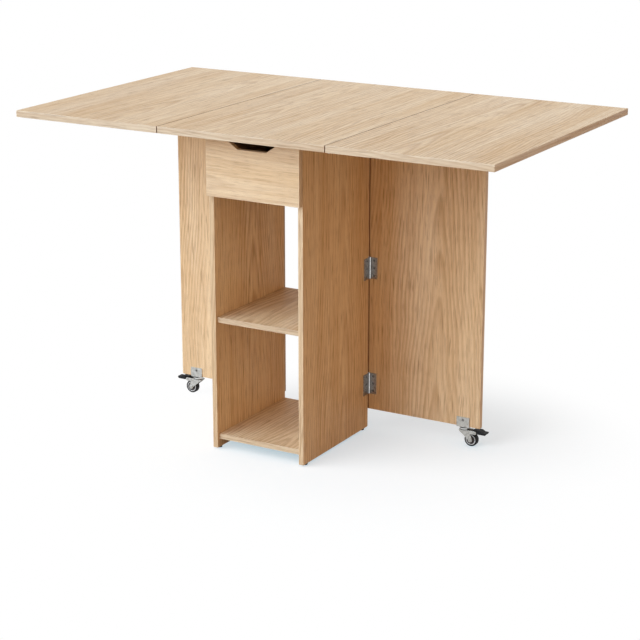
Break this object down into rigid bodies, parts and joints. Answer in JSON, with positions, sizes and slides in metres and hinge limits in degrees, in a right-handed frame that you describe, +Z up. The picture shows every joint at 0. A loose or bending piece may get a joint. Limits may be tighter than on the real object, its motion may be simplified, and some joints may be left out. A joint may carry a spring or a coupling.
{
  "type": "drop-leaf kitchen table with storage cabinet",
  "caption": "Drop-leaf kitchen table in light oak decor: hinged leaves rest on swinging gates with braked casters, over a narrow cabinet with drawer and open shelves.",
  "frame": {"origin": "on the floor under the middle of the open tabletop's outline", "axes": "+X along the length to the right as seen from the drawer, +Y to the back, +Z up"},
  "size_m": [1.195, 0.72, 0.75],
  "materials": {
    "oak_top": "light oak decor, grain across the length, satin",
    "oak_upright": "light oak decor, upright grain, satin",
    "oak_shelf": "light oak decor, grain front to back, satin",
    "oak_crosswise": "light oak decor, level grain, satin",
    "drawer_board": "light oak decor, level grain, satin",
    "hardboard": "thin board, matt",
    "beech_dowel": "plain beech",
    "glide_plastic": "matt black",
    "tyre_rubber": "matt black rubber",
    "hub_plastic": "dark grey",
    "rim_steel": "zinc plated",
    "pedal_plastic": "matt black",
    "race_steel": "dark greased steel",
    "caster_steel": "zinc plated sheet",
    "hinge_steel": "zinc plated sheet",
    "sheet_steel": "zinc plated sheet",
    "screw_steel": "zinc plated"
  },
  "bodies": {
    "cabinet": {"back_rail": "oak_crosswise", "bottom_shelf": "oak_shelf", "cabinet_screws": "screw_steel", "foot_back_left": "glide_plastic", "foot_back_right": "glide_plastic", "foot_front_left": "glide_plastic", "foot_front_right": "glide_plastic", "gate_hinge_fixed_left": "hinge_steel", "gate_hinge_fixed_right": "hinge_steel", "gate_hinge_pins": "screw_steel", "hinge_screws_fixed": "screw_steel", "leaf_hinge_fixed_left": "hinge_steel", "leaf_hinge_fixed_right": "hinge_steel", "leaf_hinge_pins": "screw_steel", "middle_shelf": "oak_shelf", "panel_dowels": "beech_dowel", "runner_left": "sheet_steel", "runner_right": "sheet_steel", "side_panel_left": "oak_upright", "side_panel_right": "oak_upright", "top_angles": "sheet_steel", "top_center": "oak_top"},
    "pedal_left": {"brake_pedal_left": "pedal_plastic"},
    "pedal_right": {"brake_pedal_right": "pedal_plastic"},
    "gate_left": {"caster_bracket_left": "caster_steel", "caster_race_left": "race_steel", "gate_hinge_moving_left": "hinge_steel", "gate_left": "oak_upright", "gate_screws_left": "screw_steel"},
    "gate_right": {"caster_bracket_right": "caster_steel", "caster_race_right": "race_steel", "gate_hinge_moving_right": "hinge_steel", "gate_right": "oak_upright", "gate_screws_right": "screw_steel"},
    "caster_left": {"caster_fork_left": "caster_steel", "caster_pins_left": "caster_steel"},
    "caster_right": {"caster_fork_right": "caster_steel", "caster_pins_right": "caster_steel"},
    "drawer": {"drawer_back": "drawer_board", "drawer_dowels": "beech_dowel", "drawer_floor": "hardboard", "drawer_front": "oak_crosswise", "drawer_side_left": "drawer_board", "drawer_side_right": "drawer_board", "slide_left": "sheet_steel", "slide_right": "sheet_steel", "slide_screws": "screw_steel"},
    "leaf_left": {"leaf_hinge_moving_left": "hinge_steel", "leaf_left": "oak_top", "leaf_screws_left": "screw_steel"},
    "leaf_right": {"leaf_hinge_moving_right": "hinge_steel", "leaf_right": "oak_top", "leaf_screws_right": "screw_steel"},
    "wheel_left": {"wheel_hub_left": "hub_plastic", "wheel_rim_left": "rim_steel", "wheel_tyre_left": "tyre_rubber"},
    "wheel_right": {"wheel_hub_right": "hub_plastic", "wheel_rim_right": "rim_steel", "wheel_tyre_right": "tyre_rubber"}
  },
  "joints": [
    {"name": "drawer_slide", "type": "slide", "parent": "cabinet", "child": "drawer", "axis": [0, -1, 0], "range_m": [0, 0.2]},
    {"name": "gate_right_swing", "type": "hinge", "parent": "cabinet", "child": "gate_right", "pos_m": [0.1201, 0.009, 0.39], "axis": [0, 0, 1], "range_deg": [-60, 90]},
    {"name": "leaf_right_lift", "type": "hinge", "parent": "cabinet", "child": "leaf_right", "pos_m": [0.21075, 0, 0.7325], "axis": [0, -1, 0], "range_deg": [0, 4]},
    {"name": "caster_right_swivel", "type": "hinge", "parent": "gate_right", "child": "caster_right", "pos_m": [0.366, 0.0186, 0.04], "axis": [0, 0, 1], "continuous": true},
    {"name": "wheel_right_roll", "type": "hinge", "parent": "caster_right", "child": "wheel_right", "pos_m": [0.384, 0.0186, 0.016], "axis": [0, 1, 0], "continuous": true},
    {"name": "brake_right_press", "type": "hinge", "parent": "caster_right", "child": "pedal_right", "pos_m": [0.395, 0.0186, 0.0346], "axis": [0, 1, 0], "range_deg": [0, 12]},
    {"name": "gate_left_swing", "type": "hinge", "parent": "cabinet", "child": "gate_left", "pos_m": [-0.1201, 0.009, 0.39], "axis": [0, 0, -1], "range_deg": [-60, 90]},
    {"name": "leaf_left_lift", "type": "hinge", "parent": "cabinet", "child": "leaf_left", "pos_m": [-0.21075, 0, 0.7325], "axis": [0, 1, 0], "range_deg": [0, 4]},
    {"name": "caster_left_swivel", "type": "hinge", "parent": "gate_left", "child": "caster_left", "pos_m": [-0.366, 0.0186, 0.04], "axis": [0, 0, 1], "continuous": true},
    {"name": "wheel_left_roll", "type": "hinge", "parent": "caster_left", "child": "wheel_left", "pos_m": [-0.384, 0.0186, 0.016], "axis": [0, 1, 0], "continuous": true},
    {"name": "brake_left_press", "type": "hinge", "parent": "caster_left", "child": "pedal_left", "pos_m": [-0.395, 0.0186, 0.0346], "axis": [0, -1, 0], "range_deg": [0, 12]}
  ]
}
